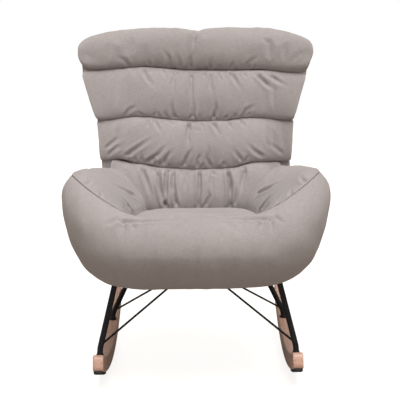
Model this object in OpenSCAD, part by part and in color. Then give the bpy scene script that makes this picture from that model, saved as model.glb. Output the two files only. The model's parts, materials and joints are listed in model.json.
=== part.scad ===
// Padded rocking armchair: tufted wing back, bowl-shaped arms, black steel base, beech rockers.
// Frame: millimetres, +Z up, the sitter looks along -Y. The origin is on the floor, under the
// line where the level rockers touch it, midway between them.

/* [Rockers] */
// Radius of the rockers' underside
rocker_r = 960; // [940:5:1030]
// Depth of a rocker's section
rocker_t = 46; // [40:1:50]
// Width of a rocker
rocker_w = 29; // [26:1:32]
// Distance of a rocker's middle plane from the chair's middle plane
rocker_x = 270; // [260:1:280]
// Y of the rockers' front end
rocker_front = -318; // [-325:1:-310]
// Y of the rockers' rear end
rocker_rear = 430; // [410:1:440]

/* [Steel base] */
// Outer diameter of the legs and the base rails
leg_d = 16; // [14:1:18]
// Y of the front feet on the rockers
foot_front = -246; // [-250:1:-240]
// Y of the rear feet on the rockers
foot_rear = 214; // [208:1:220]
// Height of the middle of the base rails
rail_z = 292; // [290:1:294]
// Distance of a base rail's front leg joint from the chair's middle plane
rail_x_front = 222; // [220:1:224]
// Distance of a base rail's rear leg joint from the chair's middle plane
rail_x_rear = 174; // [172:1:176]
// Y shift of a front leg's top towards the middle
lean_front = 22; // [15:1:26]
// Y shift of a rear leg's top towards the middle
lean_rear = 46; // [44:1:47]
// Diameter of the brace rods
rod_d = 6; // [5:0.5:7]

/* [Seat frame] */
// Thickness of the plywood rails
ply = 18; // [15:1:20]
// Height of the plywood rails
ply_h = 45; // [40:1:50]

/* [Bowl] */
// Y shift of the whole upholstered body on the base
body_y = -28; // [-30:1:-24]
// Half of the width over the arms
arm_half = 377; // [372:1:382]
// Y of the front of the bowl
bowl_front = -412; // [-416:1:-406]
// Height of the arms' crests
arm_z = 590; // [585:1:595]
// Height of the front edge of the seat
seat_z = 478; // [474:1:480]
// Height of the bowl's lower edge
skirt_z = 266; // [262:1:268]
// Thickness of the padded outer wrap along the arms
wrap_t = 26; // [22:1:28]
// Thickness of the padded outer wrap at the front
front_t = 80; // [60:1:84]

/* [Back] */
// Height over the head roll
total_h = 989; // [984:1:994]
// Set-back of the back's face for each millimetre of height
back_slope = 0.3; // [0.28:0.01:0.32]
// Y of the back's face at the height of the seat crease
back_y = 140; // [138:1:144]
// Thickness of the back's channels
pad_t = 64; // [60:1:66]

/* [Hidden] */

LEFT = -1;
RIGHT = 1;
wood_color = "burlywood";
steel_color = "#202024";
fabric_color = "#a89d96";
gap = 1.5;

// ---- helpers ----

function mix(a, b, t) = a + (b - a) * t;
function clamp01(t) = max(0, min(1, t));
function smooth(t) = clamp01(t) * clamp01(t) * (3 - 2 * clamp01(t));
function unit(v) = v / norm(v);

// A round bar from p to q.
module bar(p, q, d) {
    v = q - p;
    translate(p)
        rotate([0, acos(v.z / norm(v)), atan2(v.y, v.x)])
            cylinder(h = norm(v), d = d, $fn = 32);
}

// A round bar through a list of points, with a slightly larger knuckle at each inner one.
module bent_bar(path, d) {
    last = len(path) - 1;
    for (i = [0 : last - 1]) bar(path[i], path[i + 1], d);
    for (i = [1 : last - 1]) translate(path[i]) sphere(d = d + 1, $fn = 48);
}

// Everything above the steel base sits body_y forward of its own drawing position.
module on_base() {
    translate([0, body_y, 0]) children();
}

// A closed solid through a list of rings, all with the same number of points.
module loft(rings) {
    n = len(rings[0]);
    last = len(rings) - 1;
    points = [for (ring = rings) each ring];
    sides = [
        for (i = [0 : last - 1], j = [0 : n - 1])
            let (a = i * n + j, b = i * n + (j + 1) % n)
            each [[a, b, b + n], [a, b + n, a + n]]
    ];
    caps = [[for (j = [n - 1 : -1 : 0]) j], [for (j = [0 : n - 1]) last * n + j]];
    polyhedron(points, concat(sides, caps));
}

// ---- rockers and their bumpers ----

nose = 15;
bumper_len = 104;
bumper_out = 5;
bumper_sink = 6;
bumper_w = 25;

// Height at y of an arc of radius r about the rockers' common centre.
function arc_z(r, y) = rocker_r - sqrt(r * r - y * y);
function foot_z(y) = arc_z(rocker_r - rocker_t, y) - 2;

// An arc-shaped band, w wide, between two radii and two Y values.
module band(r_out, r_in, y0, y1, w) {
    rotate([90, 0, 90])
        translate([0, 0, -w / 2])
            intersection() {
                translate([0, rocker_r, 0])
                    difference() {
                        cylinder(r = r_out, h = w, $fn = 200);
                        translate([0, 0, -1]) cylinder(r = r_in, h = w + 2, $fn = 200);
                    }
                translate([y0, -20, -1]) cube([y1 - y0, rocker_r / 2, w + 2]);
            }
}

// Points of the arc of radius r about the rockers' centre, between two angles from straight down.
function arc_points(r, a0, a1, n) = [
    for (i = [0 : n]) let (a = mix(a0, a1, i / n)) [r * sin(a), rocker_r - r * cos(a)]
];

// One rounded corner of an end: its centre is nose away from the arc of radius r and from the tip.
function corner_y(y_tip) = y_tip - sign(y_tip) * nose;
function corner_z(r, y_tip) = arc_z(r, corner_y(y_tip));
function corner(r, y_tip, a0, a1) = [
    for (i = [0 : 7])
        let (a = mix(a0, a1, i / 7))
        [corner_y(y_tip) + nose * cos(a), corner_z(r, y_tip) + nose * sin(a)]
];

// Side outline of a rocker: two concentric arcs joined by rounded ends.
function rocker_outline() =
    let (
        r_low = rocker_r - nose,
        r_high = rocker_r - rocker_t + nose,
        low = [for (y = [rocker_front, rocker_rear]) asin(corner_y(y) / r_low)],
        high = [for (y = [rocker_front, rocker_rear]) asin(corner_y(y) / r_high)]
    )
    concat(
        corner(r_low, rocker_front, 270 + low[0], 180),
        corner(r_high, rocker_front, 180, 90 + high[0]),
        arc_points(rocker_r - rocker_t, high[0] + 0.8, high[1] - 0.8, 48),
        corner(r_high, rocker_rear, 90 + high[1], 0),
        corner(r_low, rocker_rear, 0, low[1] - 90),
        arc_points(rocker_r, low[1] - 0.8, low[0] + 0.8, 48)
    );

bolt_d = 8;
bolt_head_d = 14;
bolt_head_h = 5;
bolt_sink = 14;
bolt_reach = 14;
disc_h = 4;
disc_d = 22;

module rocker(side) {
    color(wood_color)
        translate([side * rocker_x, 0, 0])
            difference() {
                rotate([90, 0, 90])
                    translate([0, 0, -rocker_w / 2]) linear_extrude(rocker_w) polygon(rocker_outline());
                for (y = [foot_front, foot_rear])
                    translate([0, y, 0]) {
                        cylinder(d = bolt_d, h = 200, $fn = 32);
                        cylinder(d = bolt_head_d + 2, h = arc_z(rocker_r, y) + bolt_sink, $fn = 32);
                        translate([0, 0, foot_z(y)]) cylinder(d = disc_d + 1, h = 40, $fn = 48);
                    }
                bumper_solid(bumper_w);
            }
}

// Rubber strip let into the underside of the nose and standing proud of it.
module bumper_solid(w) {
    y0 = rocker_front + 5;
    band(rocker_r + bumper_out, rocker_r - bumper_sink, y0, y0 + bumper_len, w);
}

module bumper(side) {
    color("#1c1c1e") translate([side * rocker_x, 0, 0]) bumper_solid(bumper_w);
}

// ---- steel base ----

straight = 15;
leg_front_top = foot_front + lean_front;
leg_rear_top = foot_rear - lean_rear;

function leg_foot(side, y) = [side * rocker_x, y, foot_z(y) + disc_h];
function leg_knee(side, y) = leg_foot(side, y) + [0, 0, straight];
// The rails converge towards the rear.
function rail_x_at(y) = mix(rail_x_front, rail_x_rear, (y - leg_front_top) / (leg_rear_top - leg_front_top));
function leg_top(side, y_top) = [side * rail_x_at(y_top), y_top, rail_z];

// A leg stands upright on its disc, bends at the knee and leans in to the base rail.
module leg(side, y, y_top) {
    foot = leg_foot(side, y);
    color(steel_color)
        difference() {
            bent_bar([foot, leg_knee(side, y), leg_top(side, y_top)], leg_d);
            rail_solid(side, leg_d);
            translate([foot.x, foot.y, foot.z - 1]) cylinder(d = bolt_d, h = bolt_reach + 1, $fn = 32);
        }
}

module foot_discs() {
    color(steel_color)
        for (side = [LEFT, RIGHT], y = [foot_front, foot_rear])
            translate([side * rocker_x, y, foot_z(y)])
                difference() {
                    cylinder(d = disc_d, h = disc_h, $fn = 48);
                    translate([0, 0, -1]) cylinder(d = bolt_d, h = disc_h + 2, $fn = 32);
                }
}

module foot_bolts() {
    color("silver")
        for (side = [LEFT, RIGHT], y = [foot_front, foot_rear])
            translate([side * rocker_x, y, arc_z(rocker_r, y) + bolt_sink]) {
                translate([0, 0, -bolt_head_h]) cylinder(d = bolt_head_d, h = bolt_head_h, $fn = 6);
                cylinder(d = bolt_d, h = foot_z(y) + disc_h + bolt_reach - arc_z(rocker_r, y) - bolt_sink, $fn = 32);
            }
}

rail_over = 12;

// A base rail's bar, a little longer than the distance between its legs.
module rail_solid(side, d) {
    bar(leg_top(side, leg_front_top - rail_over), leg_top(side, leg_rear_top + rail_over), d);
}

module base_rail(side) {
    color(steel_color) rail_solid(side, leg_d);
}

bar_t = 4;
bar_w = 40;
bar_z = rail_z + leg_d / 2;
bar_half_front = 216;
bar_half_rear = 206;
cross_front_y = -130;
cross_rear_y = 110;
screw_x = 197;
screw_d = 6;

module cross_bar(y, half) {
    color(steel_color)
        difference() {
            translate([-half, y - bar_w / 2, bar_z]) cube([2 * half, bar_w, bar_t]);
            for (side = [LEFT, RIGHT])
                translate([side * screw_x, y, bar_z - 1]) cylinder(d = screw_d + 0.6, h = bar_t + 2, $fn = 32);
        }
}

module spine_bar() {
    y0 = cross_front_y + bar_w / 2;
    y1 = cross_rear_y - bar_w / 2;
    color(steel_color) translate([-bar_w / 2, y0, bar_z]) cube([bar_w, y1 - y0, bar_t]);
}

base_screw_len = 34;
module base_screws() {
    color("silver")
        for (side = [LEFT, RIGHT], y = [cross_front_y, cross_rear_y])
            translate([side * screw_x, y, bar_z]) {
                translate([0, 0, -3]) cylinder(d = 11, h = 3, $fn = 32);
                cylinder(d = screw_d, h = base_screw_len, $fn = 32);
            }
}

hub_d = 26;
hub_y = (foot_front + foot_rear) / 2;
hub_h = 20;

module brace_hub() {
    color(steel_color) translate([0, hub_y, bar_z - hub_h]) cylinder(d = hub_d, h = hub_h, $fn = 48);
}

rod_start = 13;

// Each rod runs from just above a knee up to the hub under the seat.
module brace(side, y, y_top) {
    knee = leg_knee(side, y);
    head = leg_top(side, y_top);
    start = knee + unit(head - knee) * rod_start;
    color(steel_color)
        difference() {
            bar(start, [0, hub_y, bar_z - hub_h / 2], rod_d);
            bar(knee, head, leg_d);
            translate([0, hub_y, bar_z - hub_h]) cylinder(d = hub_d, h = hub_h, $fn = 48);
        }
}

// ---- plywood seat frame, webbing and dust cover ----

ply_z = bar_z + bar_t;
frame_half = 206;
frame_front = -236;
frame_rear = 186;

module seat_rail_cross(y) {
    on_base() color(wood_color)
        difference() {
            translate([-frame_half + ply, y, ply_z]) cube([2 * (frame_half - ply), ply, ply_h]);
            if (y > 0)
                hoop_bolt_holes();
        }
}

module seat_rail_side(side) {
    x0 = side == LEFT ? -frame_half : frame_half - ply;
    on_base() color(wood_color)
        difference() {
            translate([x0, frame_front, ply_z]) cube([ply, frame_rear - frame_front, ply_h]);
            for (y = [cross_front_y, cross_rear_y])
                translate([side * screw_x, y - body_y, ply_z - 1]) cylinder(d = screw_d, h = base_screw_len, $fn = 32);
        }
}

block = 40;
module corner_blocks() {
    inner_x = frame_half - ply;
    corners = [[inner_x, frame_front + ply, 1], [inner_x, frame_rear - ply, -1]];
    on_base() color(wood_color)
        for (side = [LEFT, RIGHT], c = corners)
            translate([side * c.x, c.y, ply_z])
                linear_extrude(ply_h - 5)
                    polygon([[0, 0], [-side * block, 0], [0, c.z * block]]);
}

web_w = 50;
web_t = 3;
module seat_webbing() {
    z = ply_z + ply_h;
    on_base() color("#30302e")
        for (i = [0 : 4]) {
            y = mix(frame_front + 42, frame_rear - 42, i / 4);
            translate([-frame_half + 3, y - web_w / 2, z]) cube([2 * frame_half - 6, web_w, web_t]);
        }
}

module dust_cover() {
    inset = 3;
    on_base() color("#1b1b1b")
        difference() {
            translate([-frame_half + ply + inset, frame_front + ply + inset, ply_z + 1])
                cube([2 * (frame_half - ply - inset), frame_rear - frame_front - 2 * (ply + inset), 1.5]);
            corner_cut();
        }
}

// Room for the corner blocks.
module corner_cut() {
    inner_x = frame_half - ply;
    for (side = [LEFT, RIGHT], c = [[frame_front + ply, 1], [frame_rear - ply, -1]])
        translate([side * inner_x, c.x, ply_z])
            linear_extrude(10)
                polygon([[side * 5, -c.y * 5], [-side * (block + 8), -c.y * 5], [side * 5, c.y * (block + 8)]]);
}

// ---- steel frames inside the upholstery ----

lean = atan(back_slope);
hoop_d = 16;
hoop_x = 200;
hoop_foot_z = 312;
hoop_top_z = 838;
hoop_y = 199.5;
corner_r = 60;

// Places a child drawn upright in the XZ plane into the leaning plane of the back.
module in_back_plane() {
    translate([0, hoop_y, hoop_foot_z]) rotate([-lean, 0, 0]) children();
}

hoop_h = (hoop_top_z - hoop_foot_z) / cos(lean);

module hoop_solid(d) {
    in_back_plane() {
        for (side = [LEFT, RIGHT]) {
            bar([side * hoop_x, 0, 0], [side * hoop_x, 0, hoop_h - corner_r], d);
            translate([side * (hoop_x - corner_r), 0, hoop_h - corner_r])
                rotate([90, 0, 0])
                    rotate([0, 0, side == LEFT ? 90 : 0])
                        rotate_extrude(angle = 90, $fn = 64)
                            translate([corner_r, 0]) circle(d = d, $fn = 32);
        }
        bar([-hoop_x + corner_r, 0, hoop_h], [hoop_x - corner_r, 0, hoop_h], d);
    }
}

hoop_bolt_z = 330;
hoop_bolt_y = hoop_y + back_slope * (hoop_bolt_z - hoop_foot_z);

module hoop_bolt_holes() {
    for (side = [LEFT, RIGHT])
        translate([side * hoop_x, hoop_bolt_y + 25, hoop_bolt_z])
            rotate([90, 0, 0]) cylinder(d = 6.6, h = 90, $fn = 32);
}

module back_hoop() {
    on_base() color(steel_color) hoop_solid(hoop_d);
}

cross_tube_d = 12;
module back_cross_tube() {
    on_base() color(steel_color)
        difference() {
            in_back_plane() bar([-hoop_x, 0, 60], [hoop_x, 0, 60], cross_tube_d);
            hoop_solid(hoop_d);
        }
}

wing_z = [520, 770];
wing_x = 262;
wing_d = 8;
wing_forward = 42;

// A thin loop out into the wing of the back, fixed to the hoop at both ends.
module wing_frame(side) {
    ends = [for (z = wing_z) [side * hoop_x, hoop_y + back_slope * (z - hoop_foot_z), z]];
    outs = [for (p = ends) [side * wing_x, p.y - wing_forward, p.z]];
    on_base() color(steel_color)
        difference() {
            bent_bar([ends[0], outs[0], outs[1], ends[1]], wing_d);
            hoop_solid(hoop_d);
        }
}

module back_webbing() {
    strap_w = 50;
    inner = hoop_x - hoop_d / 2;
    on_base() color("#30302e")
        in_back_plane()
            for (i = [0 : 4])
                translate([-inner, -1.5, mix(105, hoop_h - 85, i / 4)]) cube([2 * inner, 3, strap_w]);
}

module hoop_bolts() {
    y_rear = hoop_bolt_y + hoop_d / 2;
    y_front = frame_rear - ply;
    on_base() color("silver")
        for (side = [LEFT, RIGHT])
            translate([side * hoop_x, 0, hoop_bolt_z])
                rotate([-90, 0, 0]) {
                    translate([0, 0, y_front - 8]) cylinder(d = 6, h = y_rear + 6 - y_front + 8, $fn = 32);
                    translate([0, 0, y_rear + 1]) cylinder(d = 12, h = 4, $fn = 6);
                    translate([0, 0, y_front - 6]) cylinder(d = 11, h = 5, $fn = 6);
                }
}

arm_frame_d = 14;
arm_frame_x = 319;
arm_knee_x = 262;
arm_frame_z = 500;
arm_frame_y = [-150, 84];
arm_foot_z = 336;

// A bent tube from the side rail out and up, along under the arm's crest, and back down.
module arm_frame(side) {
    foot = [for (y = arm_frame_y) [side * frame_half, y, arm_foot_z]];
    knee = [for (y = arm_frame_y) [side * arm_knee_x, y, arm_foot_z + 6]];
    head = [for (y = arm_frame_y) [side * arm_frame_x, y, arm_frame_z]];
    on_base() color(steel_color)
        bent_bar([foot[0], knee[0], head[0], head[1], knee[1], foot[1]], arm_frame_d);
}

// ---- the bowl: one padded wrap around the front and both arms ----

bowl_y = -50;
bowl_depth = bowl_y - bowl_front;
bowl_power = 2.6;
arc_steps = 14;
rear_steps = 5;
bowl_rear = 135;
waist_half = 314;

// Plan radius of the bowl in the direction a degrees from straight ahead.
function plan_r(a) = pow(
    pow(abs(sin(a)) / arm_half, bowl_power) + pow(abs(cos(a)) / bowl_depth, bowl_power), -1 / bowl_power
);

// Stations run from -1 (left rear) to 1 (right rear); |s| below 0.75 is the curved front.
curved = arc_steps / (arc_steps + rear_steps);
function around(s) = 90 * clamp01(abs(s) / curved);
function rearward(s) = clamp01((abs(s) - curved) / (1 - curved));
function rising(s) = smooth((around(s) - 26) / 52);

// Height of the crest, of the widest level, and the inset of the crest from the widest line.
function crest_z(s) = mix(seat_z, arm_z, rising(s)) - 47 * smooth(rearward(s));
function wide_z(s) = mix(385, 505, rising(s)) - 30 * rearward(s);
function crest_in(s) = mix(100, 62, smooth(around(s) / 72));
corner_in = 152;

// Angle past the widest level at which the wrap ends in the seam with the inner pads.
function seam_a(s) = mix(93, 58, smooth((around(s) - 40) / 45));

// Turns an inset d and a height z at station s into a point.
function at(s, d, z) =
    let (
        side = s < 0 ? LEFT : RIGHT,
        a = around(s),
        t = rearward(s),
        half = mix(arm_half, waist_half, smooth(t)),
        y = bowl_y + t * (bowl_rear - bowl_y + back_slope * (z - skirt_z)),
        r = plan_r(a) - d
    )
    t > 0 ? [side * (half - d), y, z] : [side * r * sin(a), bowl_y - r * cos(a), z];

// The lower edge turns in furthest at the front and least at the legs.
function skirt_in(s) =
    mix(148, mix(132, 70, rearward(s)), smooth(around(s) / 90))
    - 60 * pow(cos(clamp01(abs(around(s) - 52) / 38) * 90), 2);
function thick(s) = mix(front_t, wrap_t, smooth((around(s) - 15) / 50));
function skirt_a(s) = asin(clamp01(1 - skirt_in(s) / corner_in));

// Lower and upper quarter ellipses of the wrap's section, k inside its outer face.
function low_point(s, a, k) = [
    corner_in - (corner_in - k) * sin(a),
    wide_z(s) - (wide_z(s) - skirt_z - k) * cos(a)
];
function high_point(s, a, k) = [
    crest_in(s) - (crest_in(s) - k) * cos(a),
    wide_z(s) + (crest_z(s) - wide_z(s) - k) * sin(a)
];

low_n = 7;
high_n = 6;
function wrap_face(s, k) = concat(
    [for (i = [0 : low_n]) low_point(s, mix(skirt_a(s), 90, i / low_n), k)],
    [for (i = [1 : high_n]) high_point(s, seam_a(s) * i / high_n, k)]
);
function reverse(list) = [for (i = [len(list) - 1 : -1 : 0]) list[i]];
function ring(s, section) = [for (p = section) at(s, p[0], p[1])];

module bowl_wrap() {
    n = arc_steps + rear_steps;
    rings = [for (i = [-n : n]) let (s = i / n) ring(s, concat(wrap_face(s, 0), reverse(wrap_face(s, thick(s)))))];
    on_base() color(fabric_color) loft(rings);
}

// ---- inner pads of the arms ----

seat_half = 191;
pad_low = 462;
pad_floor = 402;
pad_outer = 80;

// Inset of the line where the arm's inner face meets the seat.
function seat_line(s) =
    around(s) < 90 ? plan_r(around(s)) - seat_half / sin(around(s))
                   : mix(arm_half, waist_half, smooth(rearward(s))) - mix(seat_half, 170, rearward(s));

// Section of the pad: from the seam over the crest and down the inner face to the seat.
function pad_section(s) =
    let (
        a0 = seam_a(s) + 2,
        start = high_point(s, min(a0, 90), 0),
        d_in = seat_line(s),
        d0 = max(crest_in(s), high_point(s, a0, 0)[0] + gap),
        g0 = asin(clamp01((d0 - crest_in(s)) / (d_in - crest_in(s)))),
        inner = [for (i = [0 : 6]) let (g = mix(g0, 90, i / 6))
            [mix(crest_in(s), d_in, sin(g)), pad_low + (crest_z(s) - pad_low) * cos(g)]],
        over = [for (i = [0 : 3]) high_point(s, mix(min(a0, 88), 89, i / 4), 0)],
        tuck = high_point(s, a0, thick(s))
    )
    concat(
        [for (p = over) [min(p[0], inner[0][0] - 0.5), p[1]]],
        inner,
        [[d_in, pad_floor], [pad_outer, pad_floor], [pad_outer, 505 - 25 * rearward(s)]],
        [[min(tuck[0], inner[0][0] - 1), min(tuck[1], crest_z(s) - 12)]]
    );

pad_from = 0.40;
pad_to = 0.90;
module arm_pad(side) {
    stations = [for (i = [0 : 9]) mix(pad_from, pad_to, i / 9)];
    ordered = side == RIGHT ? stations : reverse(stations);
    on_base() color(fabric_color) loft([for (s = ordered) ring(side * s, pad_section(s))]);
}

// ---- seat cushion ----

cushion_r = 34;
module seat_cushion() {
    top = seat_z - 4 - cushion_r;
    bottom = ply_z + ply_h + web_t + 4 + cushion_r;
    plan = [[180, -294, 0], [187, -60, -8], [150, 118, -32]];
    on_base() color(fabric_color)
        hull()
            for (side = [LEFT, RIGHT], p = plan, z = [bottom, top + p[2]])
                translate([side * (p.x - cushion_r), p.y + (p.y < -200 ? cushion_r : 0), z])
                    sphere(r = cushion_r, $fn = 32);
}

// ---- back: four tufted channels ----

function face_y(z) = back_y + back_slope * (z - 440);
function superpower(v, p) = sign(v) * pow(abs(v), p);

// A padded bolster between two heights. Its ends curve forward by sweep beyond the flat middle.
module channel(z0, z1, half0, half1, sweep, depth = pad_t) {
    n = 16;
    ring_n = 20;
    half = (half0 + half1) / 2;
    mid_z = (z0 + z1) / 2;
    rings = [
        for (i = [-n : n])
            let (
                t = sin(i / n * 89.5),
                x = half * t,
                fade = pow(1 - pow(abs(t), 10), 0.4),
                forward = sweep * pow(clamp01((abs(x) - hoop_x) / (half - hoop_x)), 2)
            )
            [
                for (j = [0 : ring_n - 1])
                    let (
                        a = 360 * j / ring_n,
                        h = (z1 - z0) / 2 * fade * superpower(sin(a), 0.6),
                        z = mid_z + h,
                        flare = mix(half0, half1, clamp01((z - z0) / (z1 - z0))) / half
                    )
                    [x * flare, face_y(z) + depth / 2 * (1 - fade * superpower(cos(a), 0.6)) - forward, z]
            ]
    ];
    on_base() color(fabric_color) loft(rings);
}

module lower_back_channel() { channel(415, 553, 205, 262, 30); }
module middle_back_channel() { channel(556, 695, 292, 302, 62); }
module upper_back_channel() { channel(698, 849, 304, 346, 80); }
module head_roll() { channel(852, total_h, 352, 392, 88, 106); }

// ---- outer back ----

outer_t = 10;

// Height, half width and forward sweep of the edges.
outer_levels = [[272, 232, 4], [308, 262, 20], [360, 296, 60], [450, 302, 78], [556, 294, 78],
                [640, 294, 78], [720, 302, 78], [800, 324, 78], [848, 340, 78]];

// A shell across the rear; its edges sweep forward towards the bowl and the wings.
module outer_back() {
    n = 12;
    rings = [
        for (l = outer_levels)
            let (z = l[0], half = l[1], rear = face_y(z) + pad_t + 66)
            concat(
                [for (i = [-n : n]) let (x = half * i / n) [x, rear - l[2] * edge(x, half), z]],
                [for (i = [n : -1 : -n]) let (x = (half - 1) * i / n) [x, rear - outer_t - l[2] * edge(x, half), z]]
            )
    ];
    on_base() color(fabric_color) loft(rings);
}
function edge(x, half) = pow(clamp01((abs(x) - hoop_x) / (half - hoop_x)), 2);

rocker(LEFT);  // rocker_left
rocker(RIGHT);  // rocker_right
bumper(LEFT);  // bumper_left
bumper(RIGHT);  // bumper_right
leg(LEFT, foot_front, leg_front_top);  // leg_front_left
leg(RIGHT, foot_front, leg_front_top);  // leg_front_right
leg(LEFT, foot_rear, leg_rear_top);  // leg_rear_left
leg(RIGHT, foot_rear, leg_rear_top);  // leg_rear_right
foot_discs();
foot_bolts();
brace(LEFT, foot_front, leg_front_top);  // brace_front_left
brace(RIGHT, foot_front, leg_front_top);  // brace_front_right
brace(LEFT, foot_rear, leg_rear_top);  // brace_rear_left
brace(RIGHT, foot_rear, leg_rear_top);  // brace_rear_right
brace_hub();
base_rail(LEFT);  // base_rail_left
base_rail(RIGHT);  // base_rail_right
cross_bar(cross_front_y, bar_half_front);  // cross_bar_front
cross_bar(cross_rear_y, bar_half_rear);  // cross_bar_rear
spine_bar();
base_screws();
seat_rail_cross(frame_front);  // seat_rail_front
seat_rail_cross(frame_rear - ply);  // seat_rail_rear
seat_rail_side(LEFT);  // seat_rail_left
seat_rail_side(RIGHT);  // seat_rail_right
corner_blocks();
seat_webbing();
back_hoop();
back_cross_tube();
back_webbing();
hoop_bolts();
wing_frame(LEFT);  // wing_frame_left
wing_frame(RIGHT);  // wing_frame_right
arm_frame(LEFT);  // arm_frame_left
arm_frame(RIGHT);  // arm_frame_right
seat_cushion();
arm_pad(LEFT);  // arm_pad_left
arm_pad(RIGHT);  // arm_pad_right
bowl_wrap();
lower_back_channel();
middle_back_channel();
upper_back_channel();
head_roll();
outer_back();
dust_cover();
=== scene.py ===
"""Rocking armchair: upholstery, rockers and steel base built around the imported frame.

Metres, +Z up, front faces -Y."""

import json
import math

import bmesh
import bpy
import numpy as np
from mathutils import Matrix, Vector, noise


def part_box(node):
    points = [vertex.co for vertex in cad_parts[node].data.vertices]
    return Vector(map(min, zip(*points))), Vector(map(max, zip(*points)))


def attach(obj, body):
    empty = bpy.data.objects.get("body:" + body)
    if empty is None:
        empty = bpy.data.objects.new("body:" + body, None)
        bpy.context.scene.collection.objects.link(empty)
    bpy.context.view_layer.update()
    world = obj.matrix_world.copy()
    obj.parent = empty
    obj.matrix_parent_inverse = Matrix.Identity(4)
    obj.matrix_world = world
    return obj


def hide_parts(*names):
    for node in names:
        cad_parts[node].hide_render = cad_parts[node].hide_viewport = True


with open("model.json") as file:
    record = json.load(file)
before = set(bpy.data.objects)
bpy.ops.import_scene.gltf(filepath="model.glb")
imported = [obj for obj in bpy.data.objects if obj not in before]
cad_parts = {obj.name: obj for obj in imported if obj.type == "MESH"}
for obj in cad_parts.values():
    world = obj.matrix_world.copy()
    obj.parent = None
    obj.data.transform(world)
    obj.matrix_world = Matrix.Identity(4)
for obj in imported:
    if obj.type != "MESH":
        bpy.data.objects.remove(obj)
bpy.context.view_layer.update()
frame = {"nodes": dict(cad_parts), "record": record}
nodes = frame["nodes"]
BODY = "root"

# ---- shape of the upholstered body
SHIFT = -0.028  # the body sits this far forward of its drawing position, as in the CAD
SLOPE = 0.3  # set-back of the back's face per metre of height
FACE_Y = 0.140 + SHIFT  # y of the back's face at crease height
CREASE_Z = 0.440
FLAT_HALF = 0.200  # half width of the flat middle of the back
SKIRT_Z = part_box("bowl_wrap")[0][2]
ARM_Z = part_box("bowl_wrap")[1][2]
ARM_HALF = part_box("bowl_wrap")[1][0]
SEAT_Z = 0.478
BOWL_Y = -0.050  # the plan is half a superellipse before this line and narrows to the waist behind it
BOWL_DEPTH = 0.362
BOWL_POWER = 2.6
BOWL_REAR = 0.135
WAIST_HALF = 0.314  # half width where the bowl meets the back
CURVED = 14 / 19  # share of each side's stations that lie on the curved part
CORNER_IN = 0.152  # how far the rounded lower edge would run in under the bowl
REAR_DROP = 0.020
TURN_AT, TURN_REACH = 52, 38  # degrees round the bowl where its front turns into the arm


def mix(a, b, t):
    return a + (b - a) * t


def clamp01(t):
    return np.clip(t, 0.0, 1.0)


def smooth(t):
    t = clamp01(t)
    return t * t * (3 - 2 * t)


def power(v, p):
    return np.sign(v) * np.abs(v) ** p


def unit(v):
    return v / np.linalg.norm(v)


def from_ends(n):
    """Steps to the nearer end, for n places in a row."""
    return np.minimum(np.arange(n), np.arange(n)[::-1])


def face_y(z):
    return FACE_Y + SLOPE * (z - CREASE_Z)


def through(points, x):
    """A smooth curve through a few (x, value) points."""
    px = np.array([p[0] for p in points])
    pv = np.array([p[1] for p in points])
    x = np.clip(x, px[0], px[-1])
    i = np.clip(np.searchsorted(px, x, side="right") - 1, 0, len(px) - 2)
    t = smooth((x - px[i]) / (px[i + 1] - px[i]))
    return mix(pv[i], pv[i + 1], t)


# ---- mesh helpers
def link(obj):
    bpy.context.scene.collection.objects.link(obj)
    return obj


def mesh_object(name, points, faces, uvs=None, material=None):
    mesh = bpy.data.meshes.new(name)
    mesh.from_pydata([tuple(p) for p in points], [], [tuple(f) for f in faces])
    mesh.validate()
    if uvs is not None:
        layer = mesh.uv_layers.new(name="cloth")
        index = np.empty(len(mesh.loops), dtype=np.int32)
        mesh.loops.foreach_get("vertex_index", index)
        layer.data.foreach_set("uv", np.asarray(uvs)[index].astype(np.float32).ravel())
    mesh.shade_smooth()
    if material:
        mesh.materials.append(material)
    return link(bpy.data.objects.new(name, mesh))


def even(path, n, closed=False):
    """The same path with n evenly spaced points."""
    if closed:
        path = np.concatenate([path, path[:1]])
    step = np.linalg.norm(np.diff(path, axis=0), axis=1)
    s = np.concatenate([[0], np.cumsum(step)])
    at = np.linspace(0, s[-1], n, endpoint=not closed)
    return np.stack([np.interp(at, s, path[:, k]) for k in range(path.shape[1])], axis=1)


def turn_out(obj):
    """Makes the faces look away from the middle."""
    bm = bmesh.new()
    bm.from_mesh(obj.data)
    bmesh.ops.recalc_face_normals(bm, faces=bm.faces)
    bm.to_mesh(obj.data)
    bm.free()


# ---- camera
camera_data = bpy.data.cameras.new("camera")
camera_data.sensor_width = 36
camera_data.lens = 97.9
camera = link(bpy.data.objects.new("camera", camera_data))
camera.location = (0.011, -3.163, 0.883)
PITCH, ROLL = math.radians(7.33), math.radians(0.78)
camera.rotation_euler = (
    Matrix.Rotation(math.pi / 2 - PITCH, 4, "X") @ Matrix.Rotation(-ROLL, 4, "Z")
).to_euler()
bpy.context.scene.camera = camera


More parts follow.
